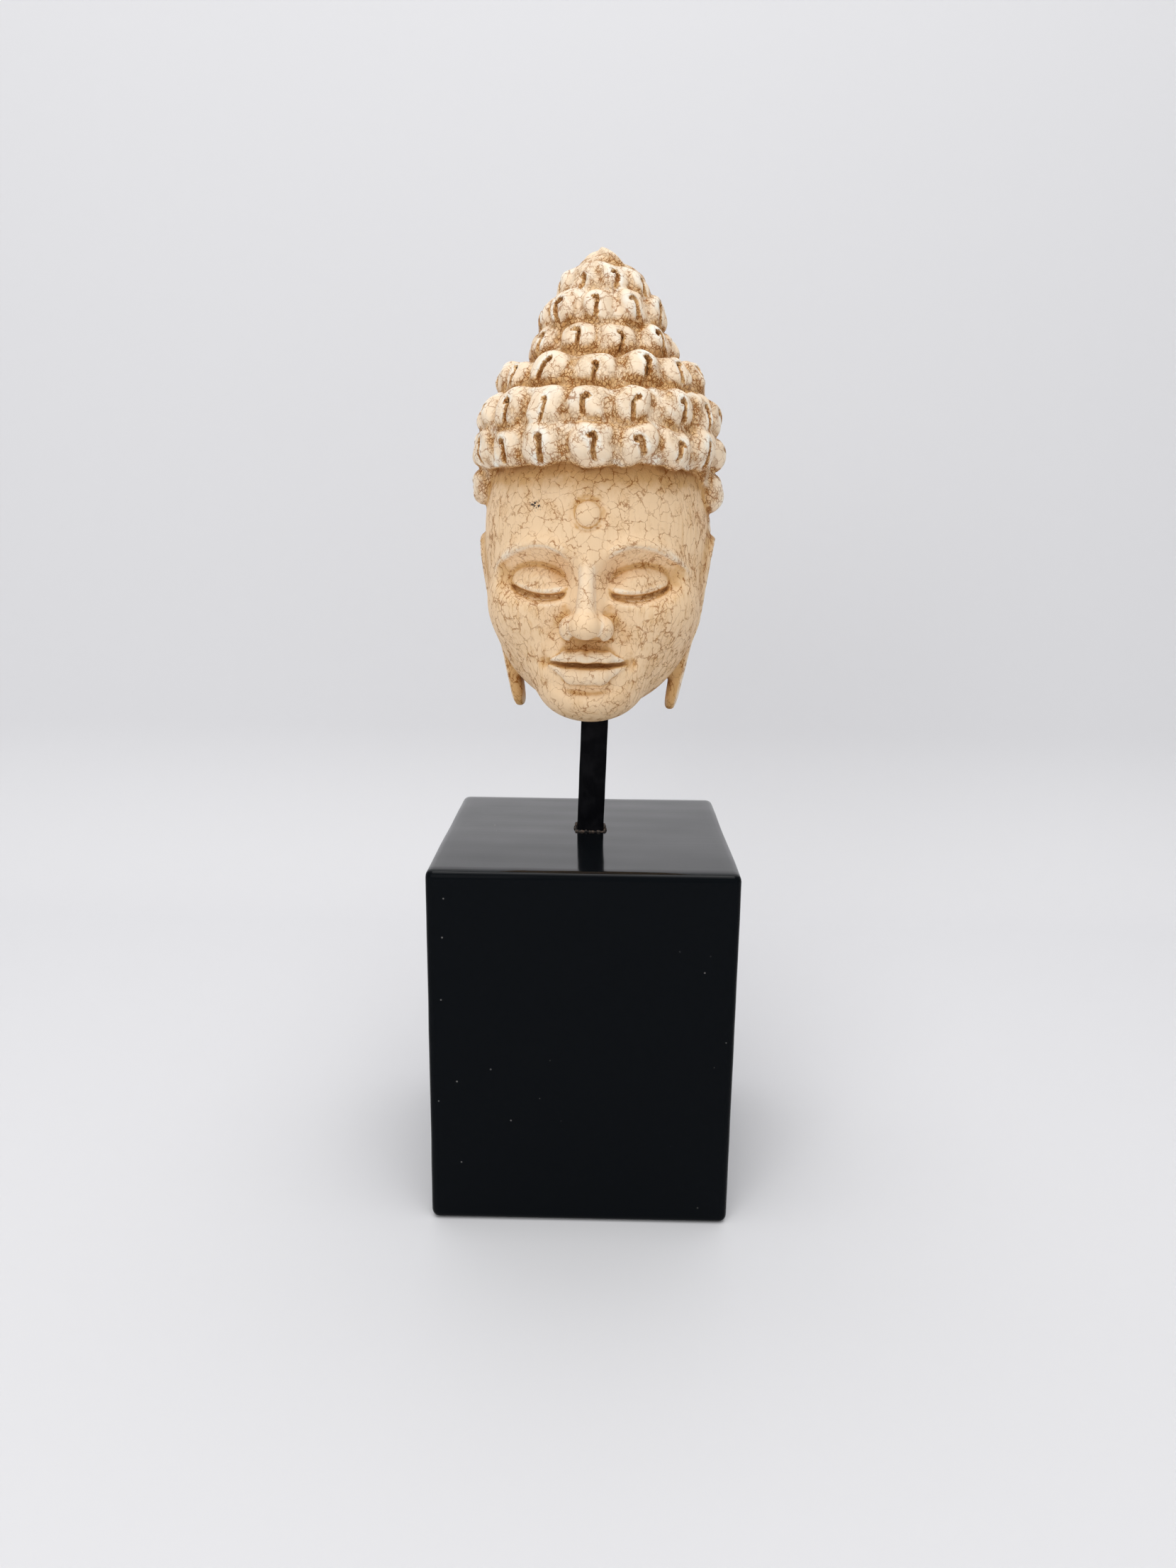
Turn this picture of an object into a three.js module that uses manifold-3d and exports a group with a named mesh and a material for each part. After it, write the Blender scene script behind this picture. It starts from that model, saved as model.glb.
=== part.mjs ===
// A carved Buddha head on a square bar that stands in a tall block.
// Millimetres, +Z up, -Y to the front. The origin is the middle of the block's underside.
import * as THREE from "three";
import { RoundedBoxGeometry } from "three/addons/geometries/RoundedBoxGeometry.js";
import { mergeVertices } from "three/addons/utils/BufferGeometryUtils.js";
import Module from "manifold-3d";

// The block
const BLOCK_WIDTH = 100;
const BLOCK_HEIGHT = 123.6;
const BLOCK_EDGE_RADIUS = 2.8;
const BLOCK_EDGE_STEPS = 3;

// The bar
const BAR_WIDTH = 9.5;
const BAR_EDGE_RADIUS = 0.7;
const BAR_EDGE_STEPS = 2;
const BAR_LEAN = THREE.MathUtils.degToRad(1.5);
const BAR_FOOT = new THREE.Vector3(1.6, 3.0, BLOCK_HEIGHT);
const FOOT_SOCKET = 8;
const HEAD_SOCKET = 8;
const CLEARANCE = 0.3;

// The head: where it is held, and heights above that place
const HEAD_PLACE = new THREE.Vector3(2.5, 2.0, 166);
const HEAD_TURN = THREE.MathUtils.degToRad(-4);
const NECK_END = 2.5;
const CHIN_HEIGHT = 2;
const BROW_HEIGHT = 56.5;
const MARK_HEIGHT = 66.5;
const HEAD_HEIGHT = 149.8;

// The hair: each row of curls has its height, the cap's half width there, its curls around, and
// one curl's turn in degrees from the front. A low roll around the cap joins the curls of a row.
const CURL_ROWS = [
  { height: 21.0, reach: 29.0, count: 13, first: 9 },
  { height: 31.8, reach: 32.6, count: 15, first: 4 },
  { height: 42.6, reach: 35.0, count: 16, first: 11 },
  { height: 53.4, reach: 36.0, count: 17, first: 3 },
  { height: 64.4, reach: 36.4, count: 17, first: 10 },
  { height: 75.4, reach: 36.8, count: 17, first: 2 },
  { height: 86.4, reach: 36.9, count: 17, first: 0 },
  { height: 97.4, reach: 35.3, count: 17, first: 0 },
  { height: 107.9, reach: 29.1, count: 14, first: 0.5 },
  { height: 118.3, reach: 19.2, count: 10, first: -19 },
  { height: 128.4, reach: 15.9, count: 10, first: -2 },
  { height: 136.6, reach: 11.3, count: 8, first: 15 },
];
const ROW_REACH = 9.5;
const CURL_HALF_HEIGHT = 5.9;
const CURL_MOST_HALF_WIDTH = 7.5;
const CURL_DEPTH = 4.4;
const CURL_ABOVE_EDGE = 3.5;
const CURL_SQUARENESS = 2.7;
const CURL_ROUNDNESS = 2.5;
const ROLL_DEPTH = 1.7;
const TIP_LOBES = 0.65;
const SMALL_CURL_REACH = 12;
const SLOT_RADIUS = 0.55;
const SLOT_DEPTH = 1.6;

// How finely the carved surface is worked
const CARVING_STEP = 1.5;
const HEAD_TRIANGLES = 9000;
const LEAST_FULLNESS = 0.02;
const LEAST_OUTWARD = 0.2;
const SHORT_EDGES_FIRST = 1e-6;

const { clamp, smoothstep, degToRad, radToDeg, euclideanModulo } = THREE.MathUtils;
const wasm = await Module();
wasm.setup();

// Rounded joins and cuts of two distances to a surface, negative inside.
function join(a, b, round) {
  const h = Math.max(round - Math.abs(a - b), 0) / round;
  return Math.min(a, b) - h * h * round * 0.25;
}

function overlap(a, b, round) {
  return -join(-a, -b, round);
}

function bell(value, width) {
  return Math.exp(-((value / width) ** 2));
}

function egg(x, y, z, centre, radii) {
  const p = [(x - centre[0]) / radii[0], (y - centre[1]) / radii[1], (z - centre[2]) / radii[2]];
  const size = Math.hypot(...p);
  const slope = Math.hypot(p[0] / radii[0], p[1] / radii[1], p[2] / radii[2]);
  return (size * (size - 1)) / Math.max(slope, 1e-6);
}

// A tapered stroke with round ends.
function stroke(x, y, z, from, to, fromRadius, toRadius) {
  const d = [to[0] - from[0], to[1] - from[1], to[2] - from[2]];
  const p = [x - from[0], y - from[1], z - from[2]];
  const along = (p[0] * d[0] + p[1] * d[1] + p[2] * d[2]) / (d[0] ** 2 + d[1] ** 2 + d[2] ** 2);
  const t = clamp(along, 0, 1);
  const gap = Math.hypot(p[0] - t * d[0], p[1] - t * d[1], p[2] - t * d[2]);
  return gap - (fromRadius + (toRadius - fromRadius) * t);
}

// A smooth curve through [place, value] knots, level beyond its ends.
function curveThrough(knots) {
  const last = knots.length - 1;
  const slopes = knots.map(([place, value], i) => {
    const [before, valueBefore] = knots[Math.max(i - 1, 0)];
    const [after, valueAfter] = knots[Math.min(i + 1, last)];
    if (i === 0 || i === last) {
      return (valueAfter - valueBefore) / (after - before);
    }
    const a = place - before;
    const b = after - place;
    return (a * a * (valueAfter - value) + b * b * (value - valueBefore)) / (a * b * (a + b));
  });
  return (place) => {
    const v = clamp(place, knots[0][0], knots[last][0]);
    let i = 0;
    while (i < last - 1 && v > knots[i + 1][0]) {
      i++;
    }
    const width = knots[i + 1][0] - knots[i][0];
    const t = (v - knots[i][0]) / width;
    const s = 1 - t;
    const ends = knots[i][1] * (1 + 2 * t) * s * s + knots[i + 1][1] * t * t * (3 - 2 * t);
    return ends + width * t * s * (slopes[i] * s - slopes[i + 1] * t);
  };
}

// A repeatable number from 0 to 1 for one curl of one row.
function chance(row, curl) {
  const wave = Math.sin(row * 78.233 + curl * 12.9898) * 43758.5453;
  return wave - Math.floor(wave);
}

// The plain egg of the face, from the chin to the crown.
function facePlain(x, y, z) {
  const middle = 46;
  const t = Math.abs(z - middle) / (z > middle ? 52 : middle - CHIN_HEIGHT);
  const level = Math.hypot(x / 35.5, (y + 6) / 31);
  return ((level ** 2 + t ** 2.3) ** (1 / 2.1) - 1) * 27.9;
}

// How far a lid and its slit stand out of the socket, at a distance across from the middle.
function lids(across, z) {
  const u = (across - 15.8) / 9.4;
  const bow = clamp(1 - u * u, 0, 1);
  const middle = 45.6 + 0.8 * u;
  const v = (z - middle) / (z > middle ? 5.6 : 5.2);
  const ball = 4.4 * clamp(1.02 - u * u - v * v, 0, 1) ** 0.95;
  const t = z - (43.8 + u - 1.9 * bow);
  const width = smoothstep(bow, 0, 0.4);
  const slit = -1.9 * bell(t, t > 0 ? 0.5 : 1.1);
  return ball + width * (slit + 0.5 * bell(t - 1.4, 0.8) + 0.5 * bell(t + 2.9, 1.1));
}

// How far the carving stands out of the plain face.
function faceRelief(x, z) {
  const across = Math.abs(x);
  const socket = Math.hypot((across - 15.5) / 14.5, (z - 47 + 0.05 * (across - 15)) / 9);
  const corner = Math.hypot((across - 8) / 4.6, (z - 49.5) / 6.5);
  const arch = BROW_HEIGHT + 1 - (across > 15 ? 0.03 : 0.052) * (across - 15) ** 2;
  const brow = bell(z - arch, z > arch ? 3 : 1.3) * smoothstep(across, 3.5, 8);
  const fold = bell(across - 10.5 - 0.3 * (30 - z), 1.8) * smoothstep(z, 21, 24);
  const mark = Math.hypot(x, z - MARK_HEIGHT);
  return (
    lids(across, z) -
    4.8 * smoothstep(1.1 - socket, 0, 0.9) -
    1.8 * smoothstep(1.1 - corner, 0, 1) +
    1.9 * brow * (1 - smoothstep(across, 25, 33)) -
    1.5 * bell(x, 8.5) * bell(z - 12.2 - 0.012 * x * x, 1.7) -
    0.9 * bell(x, 1.8) * smoothstep(z, 24, 26) * (1 - smoothstep(z, 27.5, 30)) -
    1.3 * bell(across - 13.7, 1.6) * bell(z - 20.9, 1.9) -
    0.6 * fold * (1 - smoothstep(z, 31, 35)) +
    1.2 * bell(x, 8) * bell(z - 7.5, 5) +
    1.5 * Math.sqrt(clamp(1 - (mark / 4.1) ** 2, 0, 1)) -
    0.7 * bell(mark - 4.7, 0.9)
  );
}

function upperLip(across, y, z) {
  const bow = stroke(across, y, z, [1.9, -37, 23.6], [6.2, -36.4, 23.1], 2.2, 2);
  const side = stroke(across, y, z, [6.2, -36.4, 23.1], [12.6, -32.5, 21], 2, 0.6);
  return join(join(bow, side, 1), egg(across, y, z, [0, -37.2, 22.8], [2.6, 2.3, 1.9]), 1);
}

function lowerLip(across, y, z) {
  const middle = stroke(across, y, z, [0, -36.4, 17.2], [4.4, -36, 17.3], 3, 2.8);
  const side = stroke(across, y, z, [4.4, -36, 17.3], [12, -32.2, 20.2], 2.8, 0.6);
  return join(middle, side, 1.2);
}

function nose(across, y, z) {
  const ridge = stroke(across, y, z, [0, -36.2, 55], [0, -44, 35.5], 1.8, 2.8);
  const sides = stroke(across, y, z, [0, -31.2, 52], [0, -37, 34.2], 3.8, 5.8);
  const tip = egg(across, y, z, [0, -43.6, 33.3], [4.7, 4.7, 4.1]);
  const wing = egg(across, y, z, [5.3, -38.6, 32.2], [3.2, 5.4, 3.8]);
  const opening = egg(across, y, z, [3, -40.8, 28.7], [1.7, 2.9, 1.6]);
  const solid = join(join(join(ridge, sides, 2.8), tip, 2), wing, 2);
  const ring = Math.hypot((y + 39.5) / 1.25, z - 32) - 5.2;
  const crease = bell(ring, 0.8) * smoothstep(across, 3.6, 5.6) * smoothstep(y, -43, -40);
  return overlap(solid + 0.7 * crease, -opening, 0.9);
}

function face(x, y, z) {
  const across = Math.abs(x);
  let d = facePlain(x, y, z);
  d = join(d, egg(x, y, z, [0, -21.5, 21.5], [18, 12.6, 13]), 7);
  d = join(d, egg(x, y, z, [0, -23, 10.2], [14, 11.8, 8.5]), 9);
  d = join(d, egg(across, y, z, [19.5, -18, 38], [12, 13, 11]), 8);
  d = join(d, egg(x, y, z, [0, 2, 66], [36.5, 40.5, 46]), 6);
  d -= faceRelief(x, z) * (1 - smoothstep(y, -12, 4));
  d = join(d, upperLip(across, y, z), 0.6);
  d = join(d, lowerLip(across, y, z), 0.6);
  const line = bell(z - 20.5 - 0.004 * x * x, 0.6);
  d += 1.2 * line * (1 - smoothstep(across, 11, 13.6)) * (1 - smoothstep(y, -28, -24));
  return join(d, nose(across, y, z), 1.8);
}

function neck(x, y, z) {
  const side = (Math.hypot(x / 13, (y - 10) / 18) - 1) * 13;
  return overlap(overlap(side, z - 46, 4), NECK_END - z, 1);
}

// An ear is an upright plate that is wide at the top and hangs down in a long lobe with a round end.
const earHalfWidth = curveThrough([
  [-6, 3.6],
  [6, 4.8],
  [20, 5.2],
  [30, 6.6],
  [42, 9.6],
  [52, 10.4],
  [62, 8],
]);
const earThickness = curveThrough([[2, 1.9], [7, 2.2], [13, 2.5], [26, 2.9], [60, 2.8]]);

function ear(across, y, z) {
  const t = clamp((z - 3) / 57, 0, 1.1);
  const halfWidth = earHalfWidth(z);
  const beyond = (z - clamp(z, 6.4, 53)) / (z > 30 ? 8.4 : 4.6);
  const outline = Math.hypot((y - 2.2 * Math.min(t, 1)) / halfWidth, beyond);
  const off = (across - 26.2 - 10.2 * t) * 0.975;
  const rim = 1.4 * bell((outline - 1) * halfWidth + 1.6, 1.3) * smoothstep(z, 24, 32);
  const thickness = earThickness(z);
  const plate = Math.abs(off) / (thickness + (off > 0 ? rim : 0));
  return ((outline ** 3 + plate ** 3) ** (1 / 3) - 1) * thickness;
}

// The ear's bowl, the groove inside its rim and the slit in its lobe.
function earHollow(across, y, z) {
  const t = clamp((z - 3) / 57, 0, 1.1);
  const p = y - 2.2 * Math.min(t, 1);
  const off = across - 29.4 - 9.8 * t;
  const bowl = egg(off, p, z, [0.6, -0.4, 36.5], [3.4, 3.9, 7.6]);
  const turn = Math.hypot(p - 0.6, z > 48 ? z - 48 : Math.min(z - 38, 0) * 0.7) - 5.6;
  const shallow = 3 * (1 - smoothstep(z, 34, 40)) + 4 * (1 - smoothstep(p, -6, -2.5));
  const groove = Math.hypot(turn, (off - 0.4) / 1.2) - 1.25 + shallow;
  const slit = stroke(off, p, z, [0.3, 0, 8.5], [0.3, -0.4, 23], 1.25, 1.05);
  return join(join(bowl, groove, 0.8), slit, 0.8);
}

// The cap under the curls is a turned profile, a little deeper than it is wide.
const capReach = curveThrough([
  [10, 26],
  ...CURL_ROWS.map(({ height, reach }) => [height, reach]),
  [142.5, 8.8],
  [145.5, 6],
  [148, 3.1],
  [HEAD_HEIGHT, 0.2],
]);
const capDepth = curveThrough([[10, 1.08], [95, 1.1], [112, 1.03], [125, 1], [HEAD_HEIGHT, 1]]);
const topKnotShift = curveThrough([
  [98, 0.2],
  [108, 0.9],
  [118, 1.1],
  [128, 0.9],
  [138, 1.4],
  [HEAD_HEIGHT, 0.4],
]);

// A place in the hair moved a little, as a row cut by hand is never even.
function byHand(x, y, z) {
  const sweep = Math.sin(0.41 * z + 1.7 * Math.sin(0.19 * y + 1.1));
  const a = 0.4 * sweep + 0.22 * Math.sin(0.83 * y - 0.6 * z + 2);
  const dip = Math.sin(0.37 * x + 1.6 * Math.sin(0.23 * z));
  const b = 0.35 * dip + 0.22 * Math.sin(0.71 * z + 0.9 * x + 1);
  const sag = Math.sin(0.21 * x + 1.8 * Math.sin(0.17 * y + 0.5));
  const c = 0.5 * sag + 0.3 * Math.sin(0.73 * y + 0.47 * x);
  return [x + a, y + b, z + c];
}

function cap(x, y, z) {
  const slope = capReach(z + 0.5) - capReach(z - 0.5);
  const lobes = TIP_LOBES * Math.sin(3 * Math.atan2(x, -y) + 0.9 * z) * smoothstep(z, 140, 143);
  const reach = capReach(z) + lobes;
  const side = (Math.hypot(x, y / capDepth(z)) - reach) / Math.hypot(1, slope);
  return overlap(side, z - HEAD_HEIGHT, 1);
}

// Height of the hair's lower edge at a turn in degrees from the front.
const hairEdge = curveThrough([
  [0, 82],
  [40, 82],
  [62, 80],
  [76, 74],
  [88, 67],
  [104, 61],
  [112, 54],
  [124, 30],
  [135, 15],
  [180, 13],
]);

// Every curl of a row sits on the cap, turned to face outwards, with its own size and slot.
const rows = CURL_ROWS.map(({ height, reach, count, first }, row) => {
  const pitch = 360 / count;
  const small = reach < SMALL_CURL_REACH;
  const depth = capDepth(height);
  const lean = Math.atan((capReach(height - 3) - capReach(height + 3)) / 6) * 0.75;
  const curls = [];
  for (let i = 0; i < count; i++) {
    const turn = first + i * pitch;
    const fromFront = Math.abs(euclideanModulo(turn + 180, 360) - 180);
    if (hairEdge(fromFront) + CURL_ABOVE_EDGE >= height) {
      curls.push(null);
      continue;
    }
    const [a, b, c, d] = [0, 31, 77, 57].map((salt) => chance(row + salt, i));
    const angle = degToRad(turn + (a - 0.5) * 3.4);
    const size = 1 + 0.15 * (b - 0.5);
    const thick = CURL_DEPTH * (0.92 + 0.2 * d) * (small ? 0.8 : 1);
    curls.push({
      x: reach * Math.sin(angle),
      y: -reach * depth * Math.cos(angle),
      z: height + (c - 0.5) * 1.5,
      normal: new THREE.Vector2(Math.sin(angle), -Math.cos(angle) / depth).normalize(),
      tilt: 0.36 * (d - 0.5),
      halfWidth: Math.min((degToRad(pitch) * reach * 0.99 * size) / 2, CURL_MOST_HALF_WIDTH),
      halfHeight: CURL_HALF_HEIGHT * size * (small ? 0.86 : 1),
      thick,
      side: a > 0.25 ? 1 : -1,
      slotPlace: 0.8 * (b - 0.5),
      slotTurn: 0.4 * (c - 0.5),
      slotFloor: thick - SLOT_DEPTH * (0.55 + 0.6 * b),
      hook: 0.2 + 1.1 * d,
      slotRadius: SLOT_RADIUS * (0.6 + 0.7 * c),
    });
  }
  return { height, reach, pitch, count, first, depth, lean, curls };
});

function legDistance(t, u, fromT, fromU, toT, toU) {
  const dt = toT - fromT;
  const du = toU - fromU;
  const along = clamp(((t - fromT) * dt + (u - fromU) * du) / (dt * dt + du * du), 0, 1);
  return Math.hypot(t - fromT - along * dt, u - fromU - along * du);
}

// The slot rises from the curl's foot and hooks over to one side.
function slotDistance(t, u, halfHeight, hook) {
  const rise = legDistance(t, u, 0.5, -halfHeight, 0.7, 0.2);
  const bend = legDistance(t, u, 0.7, 0.2, 0.1, 1.2);
  return Math.min(rise, bend, legDistance(t, u, 0.1, 1.2, -hook, 0.9));
}

// A place turned in its plane.
function turned(t, u, angle) {
  return [t * Math.cos(angle) + u * Math.sin(angle), u * Math.cos(angle) - t * Math.sin(angle)];
}

function curlAt(row, curl, x, y, z) {
  const out = (x - curl.x) * curl.normal.x + (y - curl.y) * curl.normal.y;
  const along = (y - curl.y) * curl.normal.x - (x - curl.x) * curl.normal.y;
  const [n, rise] = turned(out, z - curl.z, row.lean);
  const [t, u] = turned(along, rise, curl.tilt);
  const across = Math.abs(t / curl.halfWidth) ** CURL_SQUARENESS;
  const upright = Math.abs(u / curl.halfHeight) ** CURL_SQUARENESS;
  const total = across + upright + Math.abs(n / curl.thick) ** 2.2;
  const knob = (total ** (1 / CURL_ROUNDNESS) - 1) * curl.thick * 0.95;
  const [slotT, slotU] = turned(t, u, curl.slotTurn);
  const gap = slotDistance(slotT * curl.side - curl.slotPlace, slotU - 0.6, curl.halfHeight, curl.hook);
  const slot = Math.hypot(gap, Math.max(curl.slotFloor - n, 0)) - curl.slotRadius;
  return overlap(knob, -slot, 0.6);
}

// The low roll that the curls of a row are cut into, thinned out towards the hair's edge.
function roll(row, edge, x, y, z) {
  const out = Math.hypot(x, y / row.depth) - row.reach;
  const [n, u] = turned(out, z - row.height, row.lean);
  const size = Math.hypot(n / ROLL_DEPTH, u / CURL_HALF_HEIGHT);
  return (size - 1) * ROLL_DEPTH + Math.max(edge + CURL_ABOVE_EDGE - row.height, 0);
}

// The curls on both sides of a place are joined in each row, and so are the rows.
function curls(x, y, z) {
  const turn = radToDeg(Math.atan2(x, -y));
  const edge = hairEdge(Math.abs(turn));
  let nearest = 50;
  for (const row of rows) {
    if (Math.abs(z - row.height) >= ROW_REACH) {
      continue;
    }
    const place = Math.floor((turn - row.first) / row.pitch);
    const [one, other] = [place, place + 1].map((i) => {
      const curl = row.curls[euclideanModulo(i, row.count)];
      return curl ? curlAt(row, curl, x, y, z) : 50;
    });
    const found = join(join(one, other, 0.9), roll(row, edge, x, y, z), 1);
    nearest = join(nearest, found, 0.9);
  }
  return nearest;
}

// The whole head as one distance to its surface.
function head(x, y, z) {
  const across = Math.abs(x);
  const plain = join(join(face(x, y, z), neck(x, y, z), 5), ear(across, y, z), 1.6);
  const skin = overlap(plain, -earHollow(across, y, z), 0.9);
  const moved = byHand(x - topKnotShift(z), y, z);
  const edge = hairEdge(radToDeg(Math.atan2(Math.abs(moved[0]), -moved[1])));
  const hair = join(overlap(cap(...moved), edge - moved[2], 1.5), curls(...moved), 1);
  return join(skin, hair, 0.9);
}

// The six tetrahedra that fill a cube, by the numbers of its corners (x + 2y + 4z).
const TETRAHEDRA = [
  [0, 1, 3, 7],
  [0, 3, 2, 7],
  [0, 2, 6, 7],
  [0, 6, 4, 7],
  [0, 4, 5, 7],
  [0, 5, 1, 7],
];

// Makes each pocket solid that no way through the grid joins to its first, outer point.
function fillPockets(values, steps) {
  const reached = new Uint8Array(values.length);
  const waiting = [0];
  reached[0] = 1;
  while (waiting.length) {
    const at = waiting.pop();
    for (const move of steps) {
      for (const next of [at - move, at + move]) {
        if (values[next] > 0 && !reached[next]) {
          reached[next] = 1;
          waiting.push(next);
        }
      }
    }
  }
  reached.forEach((seen, i) => {
    if (!seen) {
      values[i] = -Math.abs(values[i]);
    }
  });
}

// Carves the surface of a distance field inside a box into a closed triangle mesh.
function carve(field, low, high, step) {
  const size = [0, 1, 2].map((i) => Math.ceil((high[i] - low[i]) / step) + 1);
  const rise = size[0] * size[1];
  const values = new Float64Array(rise * size[2]);
  const places = (i) => [i % size[0], Math.floor(i / size[0]) % size[1], Math.floor(i / rise)];
  for (let i = 0; i < values.length; i++) {
    values[i] = field(...places(i).map((v, axis) => low[axis] + v * step));
  }
  fillPockets(values, [1, size[0], rise]);
  const cube = [0, 1, 2, 3, 4, 5, 6, 7];
  const corner = cube.map((i) => (i & 1) + ((i >> 1) & 1) * size[0] + (i >> 2) * rise);
  const points = [];
  const made = new Map();
  const crossing = (inner, outer) => {
    const key = Math.min(inner, outer) * values.length + Math.max(inner, outer);
    if (!made.has(key)) {
      const t = clamp(values[inner] / (values[inner] - values[outer]), 0.02, 0.98);
      const [a, b] = [places(inner), places(outer)];
      made.set(key, points.length / 3);
      a.forEach((v, i) => points.push(low[i] + step * (v + (b[i] - v) * t)));
    }
    return made.get(key);
  };
  const triangles = [];
  const face = (a, b, c, inner, outer) => {
    const [p, q, r] = [a, b, c].map((i) => new THREE.Vector3(...points.slice(3 * i, 3 * i + 3)));
    const normal = q.sub(p).cross(r.sub(p));
    const [from, to] = [places(inner), places(outer)];
    const out = new THREE.Vector3(to[0] - from[0], to[1] - from[1], to[2] - from[2]);
    triangles.push(...(normal.dot(out) > 0 ? [a, b, c] : [a, c, b]));
  };
  for (let cell = 0; cell + corner[7] < values.length; cell++) {
    const [a, b] = places(cell);
    const inside = corner.map((i) => values[cell + i] < 0);
    if (a === size[0] - 1 || b === size[1] - 1 || inside.every((v) => v === inside[0])) {
      continue;
    }
    for (const tetrahedron of TETRAHEDRA) {
      const inner = tetrahedron.filter((i) => inside[i]).map((i) => cell + corner[i]);
      const outer = tetrahedron.filter((i) => !inside[i]).map((i) => cell + corner[i]);
      if (inner.length === 1) {
        face(...outer.map((i) => crossing(inner[0], i)), inner[0], outer[0]);
      } else if (outer.length === 1) {
        face(...inner.map((i) => crossing(i, outer[0])), inner[0], outer[0]);
      } else if (inner.length === 2) {
        const pairs = [[0, 0], [0, 1], [1, 1], [1, 0]];
        const [p, q, r, s] = pairs.map(([i, o]) => crossing(inner[i], outer[o]));
        face(p, q, r, inner[0], outer[1]);
        face(p, r, s, inner[0], outer[1]);
      }
    }
  }
  return { points, triangles };
}

// The cost of moving a vertex is its summed squared distance to the planes of its first triangles.
function addPlane(quadrics, at, n, d, weight) {
  const p = [n.x, n.y, n.z, d];
  let term = at * 10;
  for (let i = 0; i < 4; i++) {
    for (let j = i; j < 4; j++) {
      quadrics[term] += p[i] * p[j] * weight;
      term++;
    }
  }
}

function planeCost(q, { x, y, z }) {
  const square = q[0] * x * x + q[4] * y * y + q[7] * z * z + q[9];
  return square + 2 * (q[1] * x * y + q[2] * x * z + q[3] * x + q[5] * y * z + q[6] * y + q[8] * z);
}

// The place that costs least, or null where the planes don't settle one.
function cheapestPlace(q) {
  const m = new THREE.Matrix3(q[0], q[1], q[2], q[1], q[4], q[5], q[2], q[5], q[7]);
  const scale = q[0] + q[4] + q[7];
  const settled = Math.abs(m.determinant()) >= 1e-4 * scale ** 3;
  return settled ? new THREE.Vector3(-q[3], -q[6], -q[8]).applyMatrix3(m.invert()) : null;
}

// A heap that gives its cheapest entry first.
class Queue {
  entries = [];

  push(entry) {
    const list = this.entries;
    let i = list.push(entry) - 1;
    while (i > 0 && list[(i - 1) >> 1].cost > entry.cost) {
      list[i] = list[(i - 1) >> 1];
      i = (i - 1) >> 1;
    }
    list[i] = entry;
  }

  pop() {
    const list = this.entries;
    const first = list[0];
    const last = list.pop();
    if (list.length === 0) {
      return first;
    }
    let i = 0;
    for (;;) {
      let child = 2 * i + 1;
      if (child + 1 < list.length && list[child + 1].cost < list[child].cost) {
        child++;
      }
      if (child >= list.length || list[child].cost >= last.cost) {
        break;
      }
      list[i] = list[child];
      i = child;
    }
    list[i] = last;
    return first;
  }
}

// A triangle's area for the square of its longest side: low for a sliver.
function fullness({ a, b, c }) {
  const longest = Math.max(a.distanceToSquared(b), b.distanceToSquared(c), c.distanceToSquared(a));
  return new THREE.Triangle(a, b, c).getArea() / longest;
}

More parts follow.
